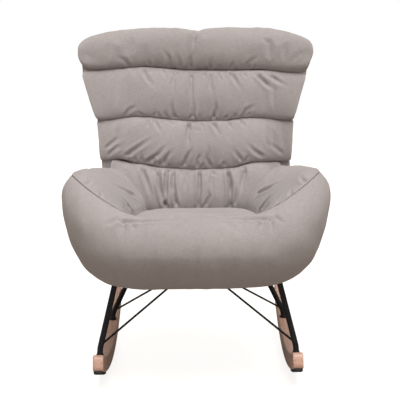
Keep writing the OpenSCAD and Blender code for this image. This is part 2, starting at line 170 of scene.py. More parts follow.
# ---- materials
class Graph:
    """Short forms for building a node material."""

    def __init__(self, name):
        self.material = bpy.data.materials.new(name)
        self.material.use_nodes = True
        self.tree = self.material.node_tree
        self.shader = self.tree.nodes["Principled BSDF"]

    def put(self, socket, value):
        if isinstance(value, bpy.types.NodeSocket):
            self.tree.links.new(value, socket)
        else:
            socket.default_value = value

    def node(self, kind, inputs=None, **settings):
        n = self.tree.nodes.new(kind)
        for key, value in settings.items():
            setattr(n, key, value)
        for key, value in (inputs or {}).items():
            self.put(n.inputs[key], value)
        return n

    def coords(self, kind):
        return self.node("ShaderNodeTexCoord").outputs[kind]

    def math(self, operation, a, b=0.0):
        return self.node("ShaderNodeMath", {0: a, 1: b}, operation=operation).outputs[0]

    def add(self, a, b):
        return self.math("ADD", a, b)

    def mul(self, a, b):
        return self.math("MULTIPLY", a, b)

    def noise(self, vector, scale, detail=3.0, rough=0.5):
        inputs = {"Vector": vector, "Scale": scale, "Detail": detail, "Roughness": rough}
        return self.node("ShaderNodeTexNoise", inputs).outputs["Fac"]

    def stretch(self, vector, x, y, z=1.0):
        return self.node("ShaderNodeMapping", {"Vector": vector, "Scale": (x, y, z)}).outputs[0]

    def ramp(self, value, stops):
        n = self.node("ShaderNodeValToRGB", {"Fac": value})
        while len(n.color_ramp.elements) < len(stops):
            n.color_ramp.elements.new(0.5)
        for element, (at, color) in zip(n.color_ramp.elements, stops):
            element.position = at
            element.color = (*color, 1.0)
        return n.outputs["Color"]

    def blend(self, a, b, factor, mode="MIX"):
        n = self.node("ShaderNodeMix", {}, data_type="RGBA", blend_type=mode)
        for key, value in ((0, factor), (6, a), (7, b)):
            self.put(n.inputs[key], value)
        return n.outputs[2]

    def bump(self, height, strength, distance, normal=None):
        inputs = {"Height": height, "Strength": strength, "Distance": distance}
        if normal is not None:
            inputs["Normal"] = normal
        return self.node("ShaderNodeBump", inputs).outputs[0]

    def finish(self, color, roughness, normal, **values):
        links = (("Base Color", color), ("Roughness", roughness), ("Normal", normal))
        for key, value in links:
            if value is not None:
                self.put(self.shader.inputs[key], value)
        for key, value in values.items():
            self.shader.inputs[key.replace("_", " ")].default_value = value
        return self.material


def linen(name):
    """Plain-weave linen-look cloth: crossing threads of uneven thickness and colour."""
    g = Graph(name)
    uv = g.coords("UV")
    obj = g.coords("Object")
    parts = g.node("ShaderNodeSeparateXYZ", {"Vector": uv})
    thread = 0.00115
    wobble = g.mul(g.noise(uv, 90.0, 2.0), 0.0009)
    across = g.add(parts.outputs[0], wobble)
    along = g.add(parts.outputs[1], wobble)
    turn = 2 * math.pi / thread
    warp = g.math("SINE", g.mul(across, turn))
    weft = g.math("SINE", g.mul(along, turn))
    weave = g.mul(warp, weft)
    slub_u = g.noise(g.stretch(uv, 45, 900), 1.0, 2.0, 0.6)
    slub_v = g.noise(g.stretch(uv, 900, 45), 1.0, 2.0, 0.6)
    slub = g.add(slub_u, slub_v)
    melange = g.noise(obj, 260.0, 3.0, 0.7)
    drift = g.noise(obj, 5.0, 2.0)
    tint = g.add(g.mul(slub, 0.32), g.mul(melange, 0.22))
    tint = g.add(tint, g.mul(drift, 0.16))
    dark = (0.262, 0.231, 0.223)
    middle = (0.374, 0.336, 0.330)
    light = (0.478, 0.438, 0.434)
    color = g.ramp(tint, [(0.30, dark), (0.50, middle), (0.72, light)])
    threads = g.add(g.mul(weave, 0.5), g.mul(slub, 1.1))
    normal = g.bump(threads, 0.55, 0.00045)
    normal = g.bump(melange, 0.22, 0.0008, normal)
    return g.finish(
        color, 0.93, normal, Sheen_Weight=0.22, Sheen_Roughness=0.55, Specular_IOR_Level=0.25
    )


def beech(name):
    """Lacquered beech: long grain with short dark flecks. Grain runs along the first UV axis."""
    g = Graph(name)
    uv = g.coords("UV")
    obj = g.coords("Object")
    wander = g.blend(uv, g.node("ShaderNodeTexNoise", {"Vector": uv, "Scale": 7.0}).outputs["Color"], 0.012)
    grain = g.noise(g.stretch(wander, 9, 150), 1.0, 5.0, 0.62)
    fine = g.noise(g.stretch(wander, 40, 900), 1.0, 3.0, 0.6)
    fleck = g.noise(g.stretch(wander, 190, 2300), 1.0, 1.0, 0.5)
    cloud = g.noise(obj, 9.0, 2.0)
    value = g.add(g.mul(grain, 0.55), g.mul(fine, 0.25))
    value = g.add(value, g.mul(cloud, 0.2))
    stops = [(0.30, (0.44, 0.240, 0.175)), (0.5, (0.64, 0.390, 0.295)), (0.70, (0.75, 0.500, 0.400))]
    color = g.ramp(value, stops)
    marks = g.ramp(fleck, [(0.60, (0, 0, 0)), (0.72, (1, 1, 1))])
    color = g.blend(color, (0.27, 0.125, 0.065, 1), g.mul(marks, 0.5))
    rough = g.add(0.30, g.mul(fine, 0.18))
    normal = g.bump(g.add(fine, fleck), 0.12, 0.0004)
    return g.finish(color, rough, normal, Coat_Weight=0.25, Coat_Roughness=0.25)


def powder_coat(name):
    """Satin black powder coat with its fine orange peel and faint scuffs."""
    g = Graph(name)
    obj = g.coords("Object")
    peel = g.noise(obj, 900.0, 2.0)
    cloud = g.noise(obj, 22.0, 3.0, 0.6)
    color = g.ramp(cloud, [(0.35, (0.0085, 0.0088, 0.0115)), (0.7, (0.017, 0.0175, 0.022))])
    rough = g.add(0.33, g.mul(cloud, 0.2))
    return g.finish(color, rough, g.bump(peel, 0.18, 0.0004), Specular_IOR_Level=0.28)


def rubber(name):
    g = Graph(name)
    obj = g.coords("Object")
    grit = g.noise(obj, 700.0, 4.0, 0.7)
    dust = g.noise(obj, 35.0, 4.0, 0.65)
    color = g.ramp(dust, [(0.35, (0.012, 0.012, 0.013)), (0.75, (0.033, 0.032, 0.031))])
    rough = g.add(0.62, g.mul(dust, 0.2))
    return g.finish(color, rough, g.bump(grit, 0.35, 0.0005))


def zinc(name):
    g = Graph(name)
    obj = g.coords("Object")
    brushed = g.noise(g.stretch(obj, 60, 60, 1400), 1.0, 3.0)
    color = g.ramp(brushed, [(0.3, (0.42, 0.43, 0.45)), (0.7, (0.66, 0.67, 0.69))])
    rough = g.add(0.24, g.mul(brushed, 0.2))
    return g.finish(color, rough, g.bump(brushed, 0.1, 0.0003), Metallic=1.0)


def plywood(name):
    g = Graph(name)
    obj = g.coords("Object")
    wave = {"Vector": obj, "Scale": 90.0, "Distortion": 1.2, "Detail": 2.0}
    plies = g.node("ShaderNodeTexWave", wave, bands_direction="Z")
    grain = g.noise(g.stretch(obj, 12, 120, 400), 1.0, 4.0, 0.6)
    value = g.add(g.mul(plies.outputs["Fac"], 0.35), g.mul(grain, 0.65))
    color = g.ramp(value, [(0.3, (0.46, 0.30, 0.17)), (0.7, (0.72, 0.55, 0.36))])
    return g.finish(color, 0.72, g.bump(grain, 0.2, 0.0006))


def strapping(name, tint):
    g = Graph(name)
    obj = g.coords("Object")
    rib = g.node("ShaderNodeTexWave", {"Vector": obj, "Scale": 210.0}, bands_direction="X").outputs["Fac"]
    fuzz = g.noise(obj, 400.0, 3.0, 0.7)
    value = g.add(g.mul(rib, 0.4), g.mul(fuzz, 0.6))
    color = g.ramp(value, [(0.3, tuple(c * 0.7 for c in tint)), (0.7, tuple(c * 1.4 for c in tint))])
    return g.finish(color, 0.9, g.bump(value, 0.4, 0.0006))


LINEN = linen("linen")
BEECH = beech("beech")
BLACK = powder_coat("black_steel")
RUBBER = rubber("rubber")
ZINC = zinc("zinc")
PLY = plywood("plywood")
WEBBING = strapping("webbing", (0.03, 0.03, 0.028))
DUST = strapping("dust_cloth", (0.012, 0.012, 0.012))
BY_SLOT = {
    "beech": BEECH, "plywood": PLY, "rubber": RUBBER, "black_steel": BLACK, "zinc": ZINC,
    "webbing": WEBBING, "dust_cloth": DUST, "linen": LINEN,
}
slot_of = {p["node"]: p["material_slot"] for p in frame["record"]["subparts"]}
for node_name, node in nodes.items():
    node.data.materials.clear()
    node.data.materials.append(BY_SLOT[slot_of[node_name]])


def piece(obj, slot, *replaced):
    """Attaches a finished piece to its body and hides the parts it stands for. slot, its finish, is not used.
    """
    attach(obj, BODY)
    if replaced:
        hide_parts(*replaced)
    return obj


# ---- cloth simulation and folds
def refine_rows(a, closed):
    """Twice as many rows, on a smooth curve through the old ones."""
    if closed:
        middle = (9 * (a + np.roll(a, -1, 0)) - np.roll(a, 1, 0) - np.roll(a, -2, 0)) / 16
        out = np.empty((2 * len(a), *a.shape[1:]))
        out[0::2], out[1::2] = a, middle
        return out
    wide = np.concatenate([2 * a[:1] - a[1:2], a, 2 * a[-1:] - a[-2:-1]])
    out = np.empty((2 * len(a) - 1, *a.shape[1:]))
    out[0::2] = a
    out[1::2] = (9 * (a[:-1] + a[1:]) - wide[:-3] - wide[3:]) / 16
    return out


def refine(points, closed_v):
    points = refine_rows(points, False)
    return refine_rows(points.swapaxes(0, 1), closed_v).swapaxes(0, 1)


def cloth_uv(points):
    """Lengths along the rows and columns of a grid, in metres."""
    u = np.linalg.norm(np.diff(points, axis=0), axis=2).mean(axis=1)
    v = np.linalg.norm(np.diff(points, axis=1), axis=2).mean(axis=0)
    u = np.concatenate([[0], np.cumsum(u)])
    v = np.concatenate([[0], np.cumsum(v)])
    return np.stack(np.meshgrid(u, v, indexing="ij"), axis=2)


def grid_faces(nu, nv, closed_v):
    faces = []
    for i in range(nu - 1):
        for j in range(nv if closed_v else nv - 1):
            k = (j + 1) % nv
            faces.append((i * nv + j, i * nv + k, (i + 1) * nv + k, (i + 1) * nv + j))
    return faces


MIDDLE = np.array([0.0, -0.05, 0.45])
FOLD_GAIN = 1.2  # all folds are this much deeper than listed
RIDGE, RIDGE_AT = 0.42, 1.9  # the ridge beside a fold: its height in depths, its place in widths
RUN_IN, RUN_OUT = 0.15, 0.9  # shares of a fold's length over which it comes in and runs out
FIRST = 0.3  # how far a fold has come in where it starts
GATHER_GAIN, GATHER_WIDTH = 1.35, 0.0044


def grid_normals(points, closed_v):
    """Normals of a grid, looking out of a closed one and away from the body's middle on an open one."""
    if closed_v:
        dv = np.roll(points, -1, 1) - np.roll(points, 1, 1)
        inside = points.mean(axis=1, keepdims=True)
    else:
        dv = np.gradient(points, axis=1)
        inside = MIDDLE
    n = np.cross(dv, np.gradient(points, axis=0))
    n /= np.maximum(np.linalg.norm(n, axis=2, keepdims=True), 1e-9)
    return n if (n * (points - inside)).sum() > 0 else -n


def fabric_noise(co, scale, seed):
    """Smooth noise in -1..1 at each point."""
    flat = co.reshape(-1, 3)
    out = [noise.noise(Vector((p[0] * scale + seed, p[1] * scale, p[2] * scale))) for p in flat]
    return np.array(out).reshape(co.shape[:-1])


def billow(points, held, growth, pressure, cap, closed_v=True, frames=20, bend=0.5, seed=0.0):
    """Lets the cloth through points swell and gather against its held seams, at most cap from its shape.

    held is a weight for each point: 1 is sewn down and 0 is free. growth is the spare cloth along x, y
    and z."""
    normal = grid_normals(points, closed_v)
    fine = np.where(np.array(growth) == max(growth), 42.0, 9.0)
    ripple = fabric_noise(points * fine, 1.0, seed) * 0.0022 + fabric_noise(points, 17.0, seed + 9) * 0.0020
    start = points + normal * (ripple * (1 - held))[..., None]
    nu, nv = points.shape[:2]
    faces = grid_faces(nu, nv, closed_v)
    i, j = nu // 2, nv // 4
    a, b, c = start[i, j], start[i, j + 1], start[i + 1, j]
    if np.cross(b - a, c - a) @ normal[i, j] < 0:
        faces = [f[::-1] for f in faces]
    obj = mesh_object("cloth_work", start.reshape(-1, 3), faces)
    obj.shape_key_add(name="Basis")
    slack = obj.shape_key_add(name="slack")
    wide = start.reshape(-1, 3) * (1 + np.array(growth))
    slack.data.foreach_set("co", wide.astype(np.float32).ravel())
    group = obj.vertex_groups.new(name="held")
    levels = np.round(held.ravel(), 2)
    for value in np.unique(levels):
        if value > 0:
            group.add(np.nonzero(levels == value)[0].tolist(), float(value), "REPLACE")
    modifier = obj.modifiers.new("cloth", "CLOTH")
    cloth = modifier.settings
    cloth.quality = 6
    cloth.mass = 0.3
    cloth.tension_stiffness = cloth.compression_stiffness = 18
    cloth.shear_stiffness = 8
    cloth.bending_stiffness = bend
    cloth.tension_damping = cloth.compression_damping = 6
    cloth.air_damping = 1.5
    cloth.use_pressure = True
    cloth.uniform_pressure_force = pressure
    cloth.rest_shape_key = slack
    cloth.vertex_group_mass = "held"
    cloth.effector_weights.gravity = 0
    modifier.collision_settings.use_collision = False
    modifier.point_cache.frame_start = 1
    modifier.point_cache.frame_end = frames
    for f in range(1, frames + 1):
        bpy.context.scene.frame_set(f)
    shaped = obj.evaluated_get(bpy.context.evaluated_depsgraph_get())
    out = np.empty(nu * nv * 3)
    shaped.data.vertices.foreach_get("co", out)
    out = out.reshape(nu, nv, 3)
    bpy.data.objects.remove(obj)
    bpy.context.scene.frame_set(1)
    moved = out - points
    far = np.linalg.norm(moved, axis=2, keepdims=True)
    return points + moved * (cap * np.tanh(far / cap) / np.maximum(far, 1e-9))


def surface(points, x, z):
    """The front-most point of a grid at (x, z), seen from the front."""
    flat = points.reshape(-1, 3)
    away = np.hypot(flat[:, 0] - x, flat[:, 2] - z)
    near = np.nonzero(away < max(0.005, away.min() + 0.002))[0]
    return flat[near[np.argmin(flat[near, 1])]]


def creased(points, closed_v, lines, pick=surface):
    """Presses fold lines into a grid. A line is (track, depth, width).

    pick lays a point of the track on the surface, as (x, z) seen from the front by default. A fold is
    deepest near its start and runs out at its end, with a soft ridge on either side."""
    flat = points.reshape(-1, 3)
    normal = grid_normals(points, closed_v).reshape(-1, 3)
    shift = np.zeros(len(flat))
    for track, depth, width in lines:
        path = np.array([pick(points, a, b) for a, b in track])
        best, where = np.full(len(flat), 1e9), np.zeros(len(flat))
        lengths = np.maximum(np.linalg.norm(np.diff(path, axis=0), axis=1), 1e-6)
        done = 0.0
        for a, b, length in zip(path[:-1], path[1:], lengths):
            t = clamp01(((flat - a) @ (b - a)) / length**2)
            away = np.linalg.norm(flat - a - t[:, None] * (b - a), axis=1)
            closer = away < best
            best = np.where(closer, away, best)
            where = np.where(closer, (done + t * length) / lengths.sum(), where)
            done += length
        r = best / width
        fold = -np.exp(-r * r) + RIDGE * np.exp(-((r - RIDGE_AT) ** 2) / 0.8)
        shift += FOLD_GAIN * depth * smooth((1 - where) / RUN_OUT) * smooth(FIRST + where / RUN_IN) * fold
    return (flat + normal * shift[:, None]).reshape(points.shape)


def gathers(seam, x0, x1, count, reach, depth, seed):
    """Small folds that run out from a seam: upwards for a positive reach, downwards for a negative one."""
    lines = []
    for i in range(count):
        a, b, c = (0.5 + 0.5 * math.sin(seed + i * k) for k in (2.4, 5.1, 3.7))
        x = mix(x0, x1, (i + 0.15 + 0.7 * a) / count)
        rise, lean = reach * mix(0.45, 1.0, b), 0.012 * (2 * c - 1) + 0.05 * x
        start = seam(x) + 0.003 * np.sign(reach)
        track = ((x, start), (x + 0.4 * lean, start + 0.5 * rise), (x + lean, start + rise))
        lines.append((track, GATHER_GAIN * depth * mix(0.5, 1.0, c), GATHER_WIDTH))
    return lines


def closed_tube(name, points, uvs, material, slot, *replaced):
    """A closed piece from a grid whose columns run round it."""
    nu, nv = points.shape[:2]
    faces = grid_faces(nu, nv, True)
    flat = np.concatenate([points.reshape(-1, 3), points[0].mean(0)[None], points[-1].mean(0)[None]])
    uv = np.concatenate([uvs.reshape(-1, 2), uvs[0].mean(0)[None], uvs[-1].mean(0)[None]])
    for j in range(nv):
        k = (j + 1) % nv
        faces.append((nu * nv, k, j))
        faces.append((nu * nv + 1, (nu - 1) * nv + j, (nu - 1) * nv + k))
    obj = mesh_object(name, flat, faces, uv, material)
    turn_out(obj)
    return piece(obj, slot, *replaced)


def soft_shell(name, points, uvs, inward, slot, *replaced):
    """A padded cover from an open grid, closed behind by a coarser lining set inward from it."""
    nu, nv = points.shape[:2]
    step = 4
    lining = points[::step, ::step] - grid_normals(points, False)[::step, ::step] * inward
    lu, lv = lining.shape[:2]
    base = nu * nv
    faces = grid_faces(nu, nv, False)
    for i in range(lu - 1):
        for j in range(lv - 1):
            a = base + i * lv + j
            faces.append((a, a + lv, a + lv + 1, a + 1))
    for i, row in ((0, 0), (nu - 1, lu - 1)):
        for j in range(lv - 1):
            run = [i * nv + j * step + k for k in range(step + 1)]
            faces.append((*run, base + row * lv + j + 1, base + row * lv + j))
    for j, column in ((0, 0), (nv - 1, lv - 1)):
        for i in range(lu - 1):
            run = [(i * step + k) * nv + j for k in range(step + 1)]
            faces.append((*run, base + (i + 1) * lv + column, base + i * lv + column))
    uv = np.concatenate([uvs.reshape(-1, 2), uvs[::step, ::step].reshape(-1, 2)])
    flat = np.concatenate([points.reshape(-1, 3), lining.reshape(-1, 3)])
    obj = mesh_object(name, flat, faces, uv, LINEN)
    turn_out(obj)
    return piece(obj, slot, *replaced)


# ---- plan and section of the bowl
def around(s):
    return 90 * clamp01(np.abs(s) / CURVED)


def rearward(s):
    return clamp01((np.abs(s) - CURVED) / (1 - CURVED))


def rising(s):
    return smooth((around(s) - 26) / 52)


def crest_z(s):
    return mix(SEAT_Z, ARM_Z, rising(s)) - REAR_DROP * smooth(rearward(s))


def wide_z(s):
    return mix(0.385, 0.505, rising(s)) - 0.030 * rearward(s)


def crest_in(s):
    return mix(0.100, 0.062, smooth(around(s) / 72))


def seam_a(s):
    return mix(93, 58, smooth((around(s) - 40) / 45))


def plan_r(s):
    a = np.radians(around(s))
    inner = (np.abs(np.sin(a)) / ARM_HALF) ** BOWL_POWER + (np.abs(np.cos(a)) / BOWL_DEPTH) ** BOWL_POWER
    return inner ** (-1 / BOWL_POWER)


def half_at(s):
    return mix(ARM_HALF, WAIST_HALF, smooth(rearward(s)))


def place(s, section):
    """Turns (inset, height) points of the section at station s into points in the row frame."""
    d, z = np.asarray(section, dtype=float).T
    side = -1.0 if s < 0 else 1.0
    t = rearward(s)
    if t > 0:
        x = side * (half_at(s) - d)
        y = BOWL_Y + t * (BOWL_REAR - BOWL_Y + SLOPE * (z - SKIRT_Z))
    else:
        a = math.radians(around(s))
        x = side * (plan_r(s) - d) * math.sin(a)
        y = BOWL_Y - (plan_r(s) - d) * math.cos(a)
    return np.stack([x, y + SHIFT, z], axis=1)


def turning(s):
    """1 where the bowl's front turns into the arm, falling to 0 on either side."""
    return math.cos(math.radians(90 * clamp01(abs(around(s) - TURN_AT) / TURN_REACH))) ** 2


def skirt_in(s):
    base = mix(0.148, mix(0.132, 0.070, rearward(s)), smooth(around(s) / 90))
    return base - 0.034 * turning(s)


def staple_in(s):
    """Inset of the line where the cover is stapled to the outside of the plywood frame."""
    half, front, n = 0.2075, 0.187, 8
    if rearward(s) > 0:
        return half_at(s) - half
    a = math.radians(around(s))
    return plan_r(s) - ((math.sin(a) / half) ** n + (math.cos(a) / front) ** n) ** (-1 / n)


def wrap_section(s):
    """From the staple line out, under the hem, up the outer face and over to the seam with the arm pads."""
    wide, crest, top_in, hem = wide_z(s), crest_z(s), crest_in(s), skirt_in(s)
    turn = turning(s)
    in_power, down_power, floor_z = 1.9 + 0.4 * turn, 1.5 + 0.4 * turn, SKIRT_Z + 0.008
    a0 = math.asin(clamp01(1 - hem / CORNER_IN) ** (in_power / 2))
    a = np.linspace(a0, np.pi / 2, 24)
    inset = CORNER_IN * (1 - np.sin(a) ** (2 / in_power))
    low = np.stack([inset, wide - (wide - floor_z) * np.abs(np.cos(a)) ** (2 / down_power)], axis=1)
    a = np.radians(np.linspace(3, seam_a(s), 20))
    high = np.stack([top_in * (1 - np.cos(a)), wide + (crest - wide) * np.sin(a)], axis=1)
    shelf, lip = 0.3078, low[0, 1]
    under = [
        (staple_in(s), shelf), (hem + 0.014, shelf), (hem + 0.0115, mix(shelf, lip, 0.3)),
        (hem + 0.010, mix(shelf, lip, 0.75)), (hem + 0.0065, lip + 0.0015),
    ]
    return np.concatenate([under, low, high])


# ---- the bowl's outer wrap
def seam_dip(points, column, depth):
    """Draws a grid in along one column, where it is sewn to its neighbour."""
    away = np.linalg.norm(points - points[:, column][:, None], axis=2)
    pull = depth * np.exp(-((away / 0.007) ** 2))
    return points - grid_normals(points, False) * pull[..., None]


WRAP_U, WRAP_V = 173, 61
stations = np.linspace(-1, 1, WRAP_U)
wrap = np.stack([place(s, even(wrap_section(s), WRAP_V)) for s in stations])
wrap_uv = cloth_uv(wrap)
from_seam = np.linalg.norm(wrap - wrap[:, -1:], axis=2)
from_hem = np.arange(WRAP_V)[None, :] / (WRAP_V - 1)
held = np.maximum(1 - smooth(from_seam / 0.030), 1 - smooth((from_hem - 0.14) / 0.10))
held = np.maximum(held, smooth((np.abs(stations)[:, None] - 0.96) / 0.035))
wrap = billow(wrap, held, (0.012, 0.010, 0.004), 1.4, 0.006, closed_v=False, frames=14, bend=4.0, seed=3.0)
wrap = refine(wrap, False)
wrap = seam_dip(wrap, -1, 0.0012)
wrap = creased(wrap, False, [
    (((0.19, 0.476), (0.196, 0.455), (0.205, 0.425)), 0.0065, 0.0062),
    (((0.2, 0.48), (0.222, 0.468), (0.24, 0.462)), 0.0055, 0.0056),
    (((0.178, 0.474), (0.165, 0.455), (0.16, 0.435)), 0.0045, 0.0062),
    (((0.15, 0.476), (0.143, 0.462), (0.135, 0.45)), 0.002, 0.006),
    (((-0.19, 0.476), (-0.192, 0.455), (-0.196, 0.43)), 0.0062, 0.0062),
    (((-0.2, 0.482), (-0.222, 0.47), (-0.245, 0.465)), 0.0042, 0.006),
    (((-0.175, 0.474), (-0.16, 0.46), (-0.15, 0.445)), 0.004, 0.006),
    (((-0.03, 0.476), (-0.055, 0.455), (-0.08, 0.44)), 0.0016, 0.007),
    (((0.06, 0.474), (0.1, 0.455), (0.13, 0.43)), 0.0014, 0.008),
    (((0.372, 0.56), (0.365, 0.545), (0.35, 0.535)), 0.0016, 0.006),
    (((-0.198, 0.475), (-0.12, 0.476), (0.02, 0.477)), 0.006, 0.0055),
    (((0.198, 0.475), (0.12, 0.476), (-0.02, 0.477)), 0.006, 0.0055),
])
bowl = soft_shell("bowl_cover", wrap, refine(wrap_uv, False), 0.016, "linen", "bowl_wrap")

# ---- inner pads of the arms
PAD_FLOOR, PAD_SEAT, SEAT_HALF = 0.408, 0.450, 0.191


def high_point(s, a):
    a = np.radians(a)
    return np.stack([
        crest_in(s) * (1 - np.cos(a)), wide_z(s) + (crest_z(s) - wide_z(s)) * np.sin(a)
    ], axis=-1)


def pad_inner(s):
    """Inset of the foot of the pad's inner face."""
    if rearward(s) > 0:
        line = half_at(s) - mix(SEAT_HALF, 0.148, rearward(s))
    else:
        line = plan_r(s) - SEAT_HALF / math.sin(math.radians(around(s)))
    least = crest_in(s) + 0.022
    return least + 0.5 * (line - least + math.hypot(line - least, 0.02))


def pad_face(s):
    a0 = seam_a(s)
    over = high_point(s, np.linspace(a0, max(a0, 89.5), 10)[:-1] if a0 < 89 else np.array([a0]))
    a = np.radians(np.linspace(0, 90, 32))
    inner_d, crest = pad_inner(s), crest_z(s)
    top = max(crest_in(s), over[-1, 0] + 0.001)
    slope = 2 / 1.35
    height = PAD_SEAT + (crest - PAD_SEAT) * np.abs(np.cos(a)) ** slope
    face = np.stack([mix(top, inner_d, np.sin(a) ** slope), height], axis=1)
    foot = [[inner_d + 0.002, PAD_SEAT - 0.02], [inner_d + 0.001, PAD_FLOOR + 0.006]]
    return np.concatenate([over, face, foot])


def pad_back(s):
    """The hidden return of the section, from the pad's foot to the seam."""
    start = high_point(s, seam_a(s))
    inner, outer = pad_inner(s), min(0.080, start[0] + 0.02)
    return np.array([
        [mix(outer, inner, 0.85), PAD_FLOOR], [mix(outer, inner, 0.4), PAD_FLOOR],
        [outer, PAD_FLOOR + 0.01], [outer, mix(PAD_FLOOR, start[1], 0.5)],
        [start[0] + 0.016, start[1] - 0.022], [start[0] + 0.006, start[1] - 0.012],
    ])


PAD_U, PAD_FRONT, PAD_REAR = 97, 46, 10
PAD_FOLDS = [
    (((0.02, 0.4), (0.14, 0.36), (0.3, 0.3)), 0.0055, 0.0062),
    (((0.02, 0.58), (0.16, 0.52), (0.36, 0.46)), 0.0065, 0.0064),
    (((0.03, 0.76), (0.18, 0.72), (0.4, 0.64)), 0.0055, 0.006),
    (((0.06, 0.02), (0.12, 0.14), (0.2, 0.26)), 0.005, 0.0056),
    (((0.17, 0.02), (0.22, 0.14), (0.3, 0.24)), 0.0042, 0.0056),
    (((0.3, 0.02), (0.34, 0.12), (0.42, 0.2)), 0.0034, 0.0056),
    (((0.3, 0.92), (0.27, 0.78), (0.22, 0.62)), 0.005, 0.0058),
    (((0.44, 0.92), (0.42, 0.76), (0.37, 0.58)), 0.006, 0.006),
    (((0.58, 0.92), (0.54, 0.74), (0.47, 0.56)), 0.0055, 0.0062),
    (((0.74, 0.9), (0.67, 0.72), (0.58, 0.56)), 0.0045, 0.0064),
    (((0.88, 0.7), (0.76, 0.58), (0.64, 0.46)), 0.0045, 0.0064),
]


def on_pad(points, along, across):
    """The point of a refined pad at a share of its length and of its visible width."""
    return points[round(along * (points.shape[0] - 1)), round(across * (2 * PAD_FRONT - 2))]


for side, label in ((-1, "left"), (1, "right")):
    rows = []
    for s in np.linspace(0.292, 0.965, PAD_U):
        front = even(pad_face(s), PAD_FRONT)
        back = even(np.concatenate([front[-1:], pad_back(s), front[:1]]), PAD_REAR + 2)[1:-1]
        rows.append(place(s * side, np.concatenate([front, back])))
    pad = np.stack(rows)
    pad_uv = cloth_uv(pad)
    index = np.arange(PAD_FRONT + PAD_REAR)
    walk = np.linalg.norm(pad - pad[:, :1], axis=2)
    held = np.maximum(1 - smooth((walk - 0.003) / 0.014), smooth((index - PAD_FRONT + 7) / 5.0)[None, :])
    held = np.maximum(held, 1 - smooth(from_ends(PAD_U)[:, None] / 4.0))
    pad = billow(pad, held, (0.04, 0.09, 0.02), 2.6, 0.018, bend=1.2, frames=20, seed=20.0 + side)
    pad = refine(pad, True)
    pad = seam_dip(pad, 0, 0.0010)
    gain = 1.0 + 0.15 * side
    pad = creased(pad, True, [(track, depth * gain, width) for track, depth, width in PAD_FOLDS], on_pad)
    pad_uv = refine(pad_uv, True)
    cushion = closed_tube("arm_cushion_" + label, pad, pad_uv, LINEN, "linen", "arm_pad_" + label)


# ---- rolls: the back's channels and the seat
SEEN, HIDDEN = 34, 8  # points round a channel: on its visible front and behind it
CHANNEL_DEPTH = 0.062


def roll(half, depth, low, high, lower_n, upper_n, sweep, stations, arc=(-90, 90), seen=SEEN,
         hidden=HIDDEN, square=0.76):
    """A padded roll across the chair. low and high give its lower and upper edges at x.

    lower_n and upper_n square its corners, sweep brings its ends forward, and arc is the range of
    angles that shows, from straight down at -90 through the front at 0."""
    phi = np.linspace(-np.pi / 2, np.pi / 2, 900)
    outline = np.stack([half * power(np.sin(phi), 0.28), depth * 0.6 * np.abs(np.cos(phi)) ** 0.28], axis=1)
    outline = even(outline, stations)
    rows = []
    for x, f in outline:
        f = max(f / (depth * 0.6), 0.04)
        t = min(abs(x) / half, 1.0)
        middle = (low(x) + high(x)) / 2
        bottom = middle - (middle - low(x)) * max((1 - t**lower_n) ** (1 / lower_n), 0.04)
        top = middle + (high(x) - middle) * max((1 - t**upper_n) ** (1 / upper_n), 0.04)

        def ring(a0, a1, n):
            a = np.radians(np.linspace(a0, a1, 200))
            c, s = power(np.cos(a), square), power(np.sin(a), square)
            z = mix(bottom, top, (1 + s) / 2)
            forward = sweep * clamp01((abs(x) - FLAT_HALF) / (half - FLAT_HALF)) ** 2
            y = face_y(z) + depth / 2 - depth / 2 * f * c - forward
            return even(np.stack([np.full_like(z, x), y, z], axis=1), n)

        front = ring(arc[0], arc[1], seen)
        back = ring(arc[1], arc[0] + 360, hidden + 2)[1:-1]
        rows.append(np.concatenate([front, back]))
    return np.stack(rows)


def roll_held(points, seen, edge=0.003, reach=0.016):
    """Sewn down along both seams, behind them and at the two ends."""
    away = np.minimum(
        np.linalg.norm(points - points[:, :1], axis=2),
        np.linalg.norm(points - points[:, seen - 1 : seen], axis=2),
    )
    held = 1 - smooth((away - edge) / reach)
    held[:, seen:] = 1.0
    return np.maximum(held, 1 - smooth(from_ends(len(points))[:, None] / 3.0))


def seam_one(x):
    """Height at x of the seam under the head roll. The other two seams follow below it."""
    return 0.850 + through([
        (-0.35, 0.003), (-0.16, 0.013), (0, 0), (0.10, -0.002), (0.20, -0.002), (0.35, -0.016)], x)


def seam_two(x):
    return 0.697 + through([
        (-0.30, 0.010), (-0.20, 0.015), (0, 0), (0.08, -0.001), (0.17, 0.007), (0.30, 0.003)], x)


def seam_three(x):
    return 0.550 + through([
        (-0.29, 0.034), (-0.24, 0.036), (-0.17, 0.020), (-0.09, 0.006), (0, 0), (0.09, 0.002),
        (0.18, 0.020), (0.29, 0.026)], x)


def past(seam, by):
    return lambda x: seam(x) + by


def flared(points, z0, z1, scale0, scale1):
    """Widens a roll evenly with height."""
    out = points.copy()
    out[..., 0] *= mix(scale0, scale1, clamp01((points[..., 2] - z0) / (z1 - z0)))
    return out


def pad_piece(name, replaced, points, seen, growth, pressure, cap, bend, seed, folds):
    uv = cloth_uv(points)
    shaped = billow(points, roll_held(points, seen), growth, pressure, cap, bend=bend, seed=seed)
    shaped = creased(refine(shaped, True), True, folds)
    obj = closed_tube(name, shaped, refine(uv, True), LINEN, "linen", replaced)


TUCK = 0.001  # each channel reaches this far past its seams
lower = roll(0.236, CHANNEL_DEPTH, lambda x: 0.418, past(seam_three, TUCK), 9, 24, 0.030, 77)
lower = flared(lower, 0.43, 0.55, 0.88, 1.10)
